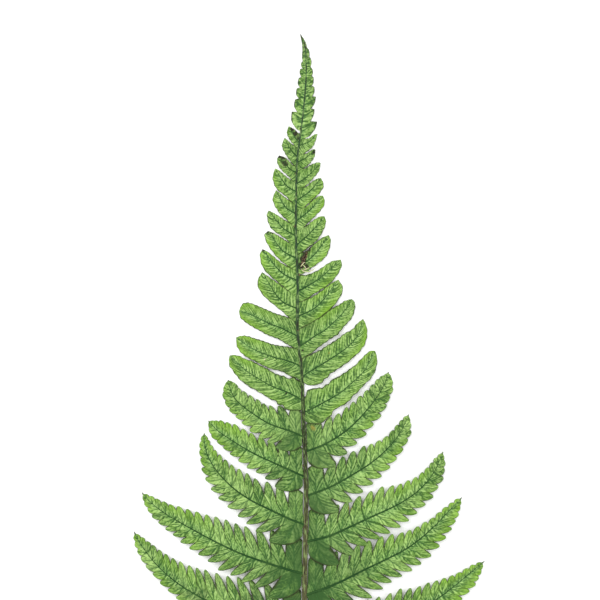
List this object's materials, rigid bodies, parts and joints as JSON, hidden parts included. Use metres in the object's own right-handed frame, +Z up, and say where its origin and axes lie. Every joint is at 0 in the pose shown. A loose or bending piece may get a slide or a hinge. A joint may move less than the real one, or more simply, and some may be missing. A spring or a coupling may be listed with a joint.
{
  "type": "dried fern frond",
  "caption": "Pressed and dried fern frond, lying flat and face up: a bare stipe, a slender rachis and paired pinnae cut into leaning lobes, narrowing to a toothed tip.",
  "frame": {"origin": "Centre of the frond's plan outline, on the surface it lies on (Z = 0).", "axes": "+Y runs along the rachis from the cut end of the stipe to the tip of the frond. +Z points up, out of the upper face of the blade. +X is to the right of the rachis, seen from above with the tip away from the viewer."},
  "size_m": [0.148, 0.3511, 0.0034],
  "materials": {
    "dried_leaf": "matte"
  },
  "bodies": {
    "root": {"fern_frond": "dried_leaf"}
  },
  "joints": []
}
